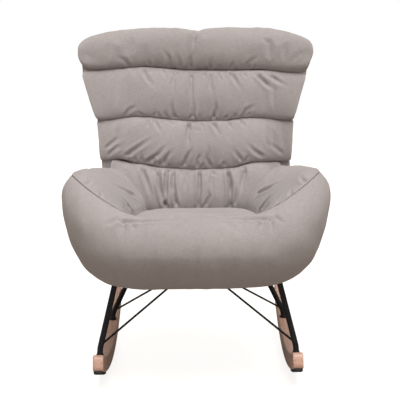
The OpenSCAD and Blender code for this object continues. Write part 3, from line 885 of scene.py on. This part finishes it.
# The long pleats are pressed in from the seam above and again, a little shallower, from the seat.
PLEATS = [
    (((0.098, 0.549), (0.101, 0.505), (0.097, 0.43)), 0.016, 0.006),
    (((-0.118, 0.55), (-0.112, 0.51), (-0.098, 0.44)), 0.011, 0.0055),
    (((-0.088, 0.549), (-0.092, 0.505), (-0.094, 0.435)), 0.0115, 0.005),
    (((-0.066, 0.548), (-0.072, 0.51), (-0.066, 0.445)), 0.0095, 0.005),
    (((0.014, 0.547), (0.01, 0.505), (0.002, 0.435)), 0.011, 0.005),
]
LOWER_FOLDS = PLEATS + [(track[::-1], 0.8 * depth, width) for track, depth, width in PLEATS] + [
    (((-0.022, 0.547), (-0.03, 0.515), (-0.032, 0.465)), 0.0055, 0.005),
    (((0.05, 0.548), (0.046, 0.515), (0.05, 0.465)), 0.005, 0.005),
    (((0.15, 0.556), (0.146, 0.52), (0.128, 0.46)), 0.009, 0.006),
    (((-0.165, 0.562), (-0.15, 0.52), (-0.126, 0.455)), 0.009, 0.006),
    (((-0.06, 0.44), (-0.064, 0.475), (-0.058, 0.515)), 0.0065, 0.0048),
    (((0.03, 0.44), (0.036, 0.475), (0.032, 0.51)), 0.006, 0.0048),
    (((0.115, 0.44), (0.122, 0.478), (0.128, 0.515)), 0.006, 0.0048),
] + gathers(seam_three, -0.15, 0.16, 11, -0.034, 0.0036, 1.0)
pad_piece("lower_back_tuft", "lower_back_channel", lower, SEEN, (0.16, 0.02, 0.03), 3.0, 0.020, 0.6, 31.0,
          LOWER_FOLDS)

middle = roll(0.286, CHANNEL_DEPTH, past(seam_three, -TUCK), past(seam_two, TUCK), 26, 26, 0.062, 105)
middle = flared(middle, 0.57, 0.69, 1.005, 1.045)
MIDDLE_FOLDS = [
    (((-0.018, 0.693), (-0.024, 0.655), (-0.014, 0.6)), 0.0075, 0.0056),
    (((0.052, 0.693), (0.062, 0.672), (0.085, 0.65)), 0.005, 0.0056),
    (((-0.215, 0.59), (-0.18, 0.622), (-0.12, 0.66)), 0.0055, 0.006),
    (((-0.15, 0.572), (-0.118, 0.602), (-0.078, 0.642)), 0.006, 0.0058),
    (((-0.105, 0.562), (-0.09, 0.59), (-0.066, 0.622)), 0.006, 0.0056),
    (((-0.034, 0.556), (-0.024, 0.59), (-0.004, 0.632)), 0.007, 0.0056),
    (((0.008, 0.555), (0.01, 0.58), (0.02, 0.612)), 0.006, 0.0052),
    (((0.046, 0.556), (0.036, 0.585), (0.04, 0.622)), 0.0055, 0.0054),
    (((0.205, 0.582), (0.18, 0.608), (0.15, 0.64)), 0.0045, 0.006),
    (((0.145, 0.572), (0.128, 0.6), (0.11, 0.622)), 0.004, 0.0056),
    (((-0.262, 0.6), (-0.235, 0.622), (-0.2, 0.64)), 0.0026, 0.006),
    (((-0.268, 0.625), (-0.24, 0.645), (-0.205, 0.66)), 0.0024, 0.006),
    (((0.262, 0.6), (0.235, 0.62), (0.205, 0.632)), 0.0024, 0.006),
    (((-0.13, 0.708), (-0.116, 0.682), (-0.092, 0.655)), 0.004, 0.0056),
]
MIDDLE_FOLDS += gathers(seam_two, -0.17, 0.16, 13, -0.030, 0.0032, 2.0)
MIDDLE_FOLDS += gathers(seam_three, -0.20, 0.19, 15, 0.030, 0.0034, 3.0)
pad_piece("middle_back_tuft", "middle_back_channel", middle, SEEN, (0.13, 0.02, 0.05), 3.4, 0.024, 0.6,
          41.0, MIDDLE_FOLDS)

upper = roll(0.325, CHANNEL_DEPTH, past(seam_two, -TUCK), past(seam_one, TUCK), 26, 26, 0.080, 115)
upper = flared(upper, 0.71, 0.84, 0.925, 1.055)
UPPER_FOLDS = [
    (((-0.01, 0.846), (-0.016, 0.8), (-0.012, 0.735)), 0.0075, 0.0056),
    (((-0.062, 0.848), (-0.07, 0.812), (-0.066, 0.765)), 0.005, 0.0056),
    (((0.05, 0.845), (0.046, 0.812), (0.058, 0.77)), 0.006, 0.0056),
    (((0.115, 0.844), (0.13, 0.815), (0.152, 0.785)), 0.0055, 0.0058),
    (((0.19, 0.842), (0.218, 0.812), (0.256, 0.785)), 0.007, 0.0062),
    (((0.232, 0.838), (0.256, 0.818), (0.288, 0.802)), 0.0045, 0.006),
    (((-0.16, 0.86), (-0.148, 0.83), (-0.12, 0.795)), 0.005, 0.006),
    (((-0.215, 0.712), (-0.2, 0.732), (-0.17, 0.752)), 0.0035, 0.0058),
    (((-0.07, 0.702), (-0.076, 0.745), (-0.068, 0.795)), 0.0065, 0.0054),
    (((-0.012, 0.7), (-0.006, 0.735), (-0.01, 0.78)), 0.0065, 0.0054),
    (((0.055, 0.7), (0.06, 0.735), (0.052, 0.785)), 0.006, 0.0054),
    (((0.15, 0.706), (0.164, 0.728), (0.19, 0.75)), 0.0038, 0.0058),
]
UPPER_FOLDS += gathers(seam_one, -0.14, 0.20, 13, -0.032, 0.0032, 4.0)
UPPER_FOLDS += gathers(seam_two, -0.17, 0.17, 15, 0.028, 0.0034, 5.0)
pad_piece("upper_back_tuft", "upper_back_channel", upper, SEEN, (0.13, 0.02, 0.05), 3.4, 0.024, 0.6,
          51.0, UPPER_FOLDS)

HEAD_DEPTH = 0.104
HEAD_SEEN = 58


def head_top(x):
    """The top edge, with a small dip at the middle."""
    return 0.989 - 0.004 * math.exp(-((x / 0.03) ** 2))


head = roll(0.360, HEAD_DEPTH, past(seam_one, -TUCK), head_top, 9, 2.6, 0.088, 125, (-90, 238), HEAD_SEEN,
            6, square=0.74)
head[..., 0] = 0.004 + head[..., 0] * (1 - 0.045 * smooth((0.905 - head[..., 2]) / 0.055))
HEAD_FOLDS = [
    (((0.004, 0.974), (0.002, 0.945), (-0.01, 0.89)), 0.0075, 0.0062),
    (((-0.008, 0.856), (-0.012, 0.885), (-0.004, 0.925)), 0.007, 0.0058),
    (((-0.075, 0.86), (-0.082, 0.888), (-0.1, 0.925)), 0.0055, 0.0058),
    (((-0.045, 0.857), (-0.054, 0.885), (-0.062, 0.915)), 0.005, 0.0056),
    (((0.045, 0.856), (0.05, 0.88), (0.062, 0.905)), 0.004, 0.0056),
    (((0.16, 0.856), (0.178, 0.878), (0.205, 0.898)), 0.0032, 0.006),
    (((-0.2, 0.866), (-0.218, 0.886), (-0.245, 0.902)), 0.003, 0.006),
] + gathers(seam_one, -0.15, 0.20, 13, 0.028, 0.0032, 6.0)
pad_piece("head_tuft", "head_roll", head, HEAD_SEEN, (0.11, 0.01, 0.03), 3.2, 0.018, 0.8, 61.0,
          HEAD_FOLDS)

# ---- seat cushion
SEAT_FRONT, SEAT_REAR = -0.334, 0.118
SEAT_MIDDLE, SEAT_PUFF = 0.418, 0.051  # the mid plane before it sags, and the half thickness
SEAT_SEEN = 74


def seat_profile(f, a0, a1, n):
    """y and z round the cushion between two angles; f is 1 in the middle and small at the sides."""
    a = np.radians(np.linspace(a0, a1, n))
    c, s = power(np.cos(a), 0.30), power(np.sin(a), 0.55)
    y = mix(SEAT_FRONT, SEAT_REAR, (1 - c * mix(0.9, 1.0, f)) / 2)
    sag = 0.003 + 0.030 * smooth((y - SEAT_FRONT) / (SEAT_REAR - SEAT_FRONT))
    return y, SEAT_MIDDLE + SEAT_PUFF * f * s - sag


def seat_grid():
    phi = np.linspace(-np.pi / 2, np.pi / 2, 900)
    outline = np.stack([0.189 * power(np.sin(phi), 0.20), 0.05 * np.abs(np.cos(phi)) ** 0.20], axis=1)
    rows = []
    for x, f in even(outline, 61):
        f = max(f / 0.05, 0.06)
        y, z = seat_profile(f, -75, 255, 400)
        front = even(np.stack([x * mix(1.0, 0.86, smooth((y + 0.05) / 0.15)), y, z], axis=1), SEAT_SEEN)
        y, z = seat_profile(f, 255, 285, 60)
        back = even(np.stack([np.full_like(y, x * 0.93), y, z], axis=1), 12)[1:-1]
        rows.append(np.concatenate([front, back]))
    return np.stack(rows)


seat = seat_grid()
SEAT_FOLDS = [
    (((-0.12, 0.444), (-0.11, 0.452), (-0.1, 0.462)), 0.0045, 0.007),
    (((-0.06, 0.443), (-0.055, 0.45), (-0.052, 0.458)), 0.0035, 0.006),
    (((0.03, 0.443), (0.034, 0.45), (0.04, 0.458)), 0.0035, 0.006),
    (((0.1, 0.444), (0.11, 0.452), (0.12, 0.462)), 0.0045, 0.007),
]
pad_piece("seat_pad", "seat_cushion", seat, SEAT_SEEN, (0.06, 0.02, 0.01), 2.0, 0.010, 1.2, 71.0,
          SEAT_FOLDS)

# ---- outer back
SHELL_V = 77
SHELL_HALF = 41  # columns from the middle of the rear to one edge


def shell_row(z, forward):
    """Half of the shell in plan at height z, from the middle of the rear to its front edge."""
    rise = smooth((z - 0.30) / 0.10)
    half = through([
        (0.270, 0.236), (0.308, 0.260), (0.360, 0.288), (0.450, 0.295), (0.560, 0.288), (0.640, 0.289),
        (0.700, 0.300), (0.765, 0.318), (0.850, 0.345), (0.890, 0.348)], z)
    rear = face_y(z) + 0.130 - forward
    wrap_end = BOWL_REAR + SLOPE * (z - SKIRT_Z) + SHIFT - 0.006
    wing_y = face_y(z) + 0.031 - through([(0.56, 0.050), (0.65, 0.060), (0.78, 0.074), (0.86, 0.078)], z)
    up = smooth((z - 0.47) / 0.09)
    end = np.array([mix(half - 0.004, half - 0.003, up), mix(min(wrap_end, rear - 0.01), wing_y, up)])
    start = np.array([mix(0.15, FLAT_HALF, rise), rear])
    p1 = np.array([mix(start[0], half, 0.62), rear + 0.001])
    p2 = np.array([half + mix(0.004, 0.010, up), mix(mix(end[1], rear, 0.5), rear - 0.068, up)])
    t = np.linspace(0, 1, 60)[:, None]
    curve = (1 - t) ** 3 * start + 3 * t * (1 - t) ** 2 * p1 + 3 * t * t * (1 - t) * p2 + t**3 * end
    x = np.linspace(0, start[0], 40)[:-1]
    flat = np.stack([x, np.full_like(x, rear)], axis=1)
    turned_in = end + np.array([
        [-0.004, -0.001], [-0.014, mix(0.003, 0.010, up)], [mix(-0.022, -0.055, up), mix(0.026, 0.050, up)]
    ])
    return np.concatenate([flat, curve, turned_in])


# Rows of the shell as (height, how far forward), from the tucked-in hem below to the rim above.
levels = [
    (0.3085, 0.034), (0.3082, 0.012), (0.302, 0.006), (0.290, 0.003), (0.281, 0.001), (0.277, -0.004),
    (0.281, -0.008),
]
levels += [(z, 0.0) for z in np.linspace(0.300, 0.846, 60)]
levels += [(0.858, 0.004), (0.867, 0.012), (0.873, 0.024), (0.876, 0.040)]
halves = np.stack([
    np.concatenate([even(shell_row(max(z, 0.277), forward), SHELL_HALF), np.full((SHELL_HALF, 1), z)], axis=1)
    for z, forward in levels
])
halves = np.stack([even(halves[:, j], SHELL_V) for j in range(SHELL_HALF)], axis=1)
mirrored = halves[:, :0:-1] * np.array([-1, 1, 1])
shell = np.concatenate([mirrored, halves], axis=1)
shell_uv = cloth_uv(shell)
rim = from_ends(shell.shape[1])[None, :]
edge = from_ends(SHELL_V)[:, None]
held = np.maximum(1 - smooth(rim / 5.0), 1 - smooth((edge - 12) / 6.0))
shell = billow(
    shell, held, (0.012, 0.004, 0.008), 1.0, 0.005, closed_v=False, frames=12, bend=4.0, seed=81.0
)
shell = refine(shell, False)
outer = soft_shell("outer_back_cover", shell, refine(shell_uv, False), 0.012, "linen", "outer_back")

# ---- rockers
ROCKER_R = 0.960
ROCKER_T = 0.046
ROCKER_W = 0.029
NOSE = 0.015


def arc_height(r, y):
    return ROCKER_R - math.sqrt(r * r - y * y)


def rounded_section(half_w, r_out, r_in, corner, n):
    """Closed outline in (x, radius) with rounded corners."""
    corner_a = np.linspace(0, np.pi / 2, n)
    out = []
    for cx, cr, start in (
        (half_w - corner, r_out - corner, 0.0), (-half_w + corner, r_out - corner, 0.5),
        (-half_w + corner, r_in + corner, 1.0), (half_w - corner, r_in + corner, 1.5),
    ):
        a = corner_a + start * np.pi
        out += [(cx + corner * math.cos(t), cr + corner * math.sin(t)) for t in a]
    return np.array(out)


def swept_arc(x0, y_front, y_rear, r_out, r_in, half_w, corner, nose, n, wave=None):
    """A bar of rounded section along an arc about the rockers' centre, with rounded ends."""
    a0, a1 = math.asin(y_front / r_out), math.asin(y_rear / r_out)
    length = (a1 - a0) * r_out
    ends = nose * (1 - np.cos(np.linspace(0, np.pi / 2, 8)))
    inner = np.linspace(nose, length - nose, n)[1:-1]
    at = np.concatenate([ends + 0.0, inner, length - ends[::-1]])
    rows = []
    for d in at:
        e = min(d, length - d)
        inset = nose - math.sqrt(max(nose**2 - (nose - min(e, nose)) ** 2, 0.0))
        c = corner + 0.0015 * (1 - min(e, 0.006) / 0.006)
        narrow = 0.0012 * (1 - smooth(e / 0.006))
        ro, ri = r_out - inset, r_in + inset
        if wave:
            ro += wave * (0.5 + 0.5 * math.cos(2 * math.pi * d / 0.004))
        section = rounded_section(half_w - narrow, ro, ri, min(c, (ro - ri) / 2 - 1e-4), 6)
        a = a0 + d / r_out
        r = section[:, 1]
        rows.append(np.stack([x0 + section[:, 0], r * math.sin(a), ROCKER_R - r * math.cos(a)], axis=1))
    return np.stack(rows)


def hard_tube(name, points, material, slot, *replaced):
    return closed_tube(name, points, cloth_uv(points), material, slot, *replaced)


# ---- steel tubes, welds and plugs
def tube_path(points, fillet, n=9):
    """The path with its inner corners rounded."""
    p = [np.array(q, dtype=float) for q in points]
    out = [p[0]]
    for a, b, c in zip(p[:-2], p[1:-1], p[2:]):
        start, end = b + unit(a - b) * fillet, b + unit(c - b) * fillet
        for t in np.linspace(0, 1, n):
            out.append((1 - t) ** 2 * start + 2 * t * (1 - t) * b + t * t * end)
    out.append(p[-1])
    return np.array(out)


def tube_grid(path, radius, n=24):
    """Rings round a path. radius is a number or one for each point."""
    radius = np.broadcast_to(radius, len(path))
    tangent = np.gradient(path, axis=0)
    tangent /= np.linalg.norm(tangent, axis=1, keepdims=True)
    side = np.cross(tangent[0], (0.0, 1.0, 0.0) if abs(tangent[0][1]) < 0.9 else (1.0, 0.0, 0.0))
    rows = []
    for p, t, r in zip(path, tangent, radius):
        side = unit(side - t * (side @ t))
        up = np.cross(t, side)
        a = np.linspace(0, 2 * np.pi, n, endpoint=False)[:, None]
        rows.append(p + r * (np.cos(a) * side + np.sin(a) * up))
    return np.stack(rows)


def weld(name, centre, axis, radius, bead, seed):
    """A slightly uneven weld bead round an axis."""
    axis = unit(np.array(axis, dtype=float))
    side = unit(np.cross(axis, (0.0, 0.0, 1.0) if abs(axis[2]) < 0.9 else (1.0, 0.0, 0.0)))
    up = np.cross(axis, side)
    rows = []
    for i, a in enumerate(np.linspace(0, 2 * np.pi, 49)):
        r = bead * (1 + 0.22 * math.sin(i * 1.9 + seed) + 0.1 * math.sin(i * 0.7 + seed))
        out = math.cos(a) * side + math.sin(a) * up
        c = np.array(centre) + out * radius
        b = np.linspace(0, 2 * np.pi, 10, endpoint=False)[:, None]
        rows.append(c + r * (np.cos(b) * out + np.sin(b) * axis * 0.9))
    points = np.stack(rows[:-1])
    nu, nv = points.shape[:2]
    faces = [
        (i * nv + j, i * nv + (j + 1) % nv, ((i + 1) % nu) * nv + (j + 1) % nv, ((i + 1) % nu) * nv + j)
        for i in range(nu) for j in range(nv)
    ]
    uvs = cloth_uv(points).reshape(-1, 2)
    obj = mesh_object(name, points.reshape(-1, 3), faces, uvs, BLACK)
    turn_out(obj)
    return piece(obj, "black_steel")


def foot_height(y):
    return arc_height(ROCKER_R - ROCKER_T, y) - 0.002


RAIL_Z, LEG_R, STRAIGHT = 0.292, 0.008, 0.015
BEAM_X = 0.270
BEAM_Y, BUMPER_Y = (-0.318, 0.430), (-0.315, -0.209)
# End of the base: y of the leg's foot, then y and half width of its top on the rail.
FEET = {"front": (-0.246, -0.224, 0.222), "rear": (0.214, 0.168, 0.174)}
HUB = np.array([0.0, -0.016, 0.290])

for side, label in ((-1, "left"), (1, "right")):
    beam_x, r_in = side * BEAM_X, ROCKER_R - ROCKER_T
    beam = swept_arc(beam_x, *BEAM_Y, ROCKER_R, r_in, ROCKER_W / 2, 0.0042, NOSE, 90)
    hard_tube("rocker_beam_" + label, beam, BEECH, "beech", "rocker_" + label)
    strip = swept_arc(
        beam_x, *BUMPER_Y, ROCKER_R + 0.006, ROCKER_R - 0.005, 0.0128, 0.0036, 0.0035, 170, 0.0004
    )
    hard_tube("rocker_bumper_" + label, strip, RUBBER, "rubber", "bumper_" + label)
    for end, (foot_y, top_y, top_x) in FEET.items():
        corner = f"{end}_{label}"
        foot_z = foot_height(foot_y) + 0.004
        foot = (beam_x, foot_y, foot_z)
        knee = np.array((beam_x, foot_y, foot_z + STRAIGHT))
        head_end = np.array((side * top_x, top_y, RAIL_Z))
        lean = unit(head_end - knee)
        top = head_end - lean * 0.003
        path = even(tube_path([foot, knee, top], 0.011), 70)
        height = path[:, 2] - foot_z
        flare = LEG_R + 0.0022 * np.exp(-((height / 0.0035) ** 2))
        hard_tube("leg_tube_" + corner, tube_grid(path, flare), BLACK, "black_steel", "leg_" + corner)
        bead_at = (beam_x, foot_y, foot_z + 0.0006)
        weld("foot_weld_" + corner, bead_at, (0, 0, 1), 0.0088, 0.0013, side + foot_y)
        weld("rail_weld_" + corner, head_end - lean * 0.0085, lean, 0.0074, 0.0014, side * 3 + foot_y)
        start = knee + lean * 0.013
        rod = unit(HUB - start)
        weld("rod_weld_" + corner, start + rod * 0.0088, rod, 0.0030, 0.0011, side * 5 + foot_y)
    joints = [np.array((side * FEET[end][2], FEET[end][1], RAIL_Z)) for end in ("front", "rear")]
    along = unit(joints[0] - joints[1])
    for end, joint, out in (("front", joints[0], along), ("rear", joints[1], -along)):
        tip = joint + out * 0.012 / abs(out[1])
        a = np.linspace(0, np.pi / 2, 12)
        reach = np.concatenate([[0.0, 0.0001], 0.0002 + 0.0035 * np.sin(a)])
        radius = np.concatenate([[0.0070, 0.0084], 0.0084 * np.cos(a * 0.94)])
        plug = tube_grid(tip + reach[:, None] * out, radius)
        hard_tube(f"rail_plug_{end}_{label}", plug, RUBBER, "rubber")

# ---- light and floor
scene = bpy.context.scene
scene.view_settings.view_transform = "Standard"
scene.view_settings.look = "None"
world = bpy.data.worlds.new("studio")
scene.world = world
world.use_nodes = True
tree = world.node_tree
plain = tree.nodes["Background"]
plain.inputs["Color"].default_value = (1.0, 0.90, 0.79, 1.0)
plain.inputs["Strength"].default_value = 0.34
backdrop = tree.nodes.new("ShaderNodeBackground")
backdrop.inputs["Strength"].default_value = 1.0
backdrop.inputs["Color"].default_value = (1.0, 1.0, 1.0, 1.0)
seen_by = tree.nodes.new("ShaderNodeLightPath")
either = tree.nodes.new("ShaderNodeMixShader")
tree.links.new(seen_by.outputs["Is Camera Ray"], either.inputs[0])
tree.links.new(plain.outputs[0], either.inputs[1])
tree.links.new(backdrop.outputs[0], either.inputs[2])
tree.links.new(either.outputs[0], tree.nodes["World Output"].inputs[0])


def soft_sun(name, direction, strength, spread):
    data = bpy.data.lights.new(name, "SUN")
    data.energy = strength
    data.angle = math.radians(spread)
    light = link(bpy.data.objects.new(name, data))
    light.rotation_euler = Vector(direction).to_track_quat("-Z", "Y").to_euler()
    return light


soft_sun("overhead_light", (-0.10, 0.34, -1.0), 3.05, 50)
soft_sun("front_light", (-0.10, 1.0, -0.75), 0.42, 60)

floor_mesh = bpy.data.meshes.new("floor")
span = 12.0
corners = [(-span, -span, 0), (span, -span, 0), (span, span, 0), (-span, span, 0)]
floor_mesh.from_pydata(corners, [], [(0, 1, 2, 3)])
floor = link(bpy.data.objects.new("floor", floor_mesh))
g = Graph("floor_white")
cloud = g.noise(g.coords("Object"), 3.0, 2.0)
floor_color = g.ramp(cloud, [(0.3, (0.33, 0.29, 0.25)), (0.7, (0.35, 0.31, 0.27))])
floor_rough = g.add(0.22, g.mul(cloud, 0.05))
floor_mesh.materials.append(g.finish(floor_color, floor_rough, None))
glow = g.node("ShaderNodeEmission", {"Color": (1, 1, 1, 1)})
rays = g.node("ShaderNodeLightPath")
g.tree.links.new(g.mul(rays.outputs["Is Camera Ray"], 0.86), glow.inputs["Strength"])
both = g.node("ShaderNodeAddShader", {0: g.shader.outputs[0], 1: glow.outputs[0]})
g.tree.links.new(both.outputs[0], g.tree.nodes["Material Output"].inputs["Surface"])
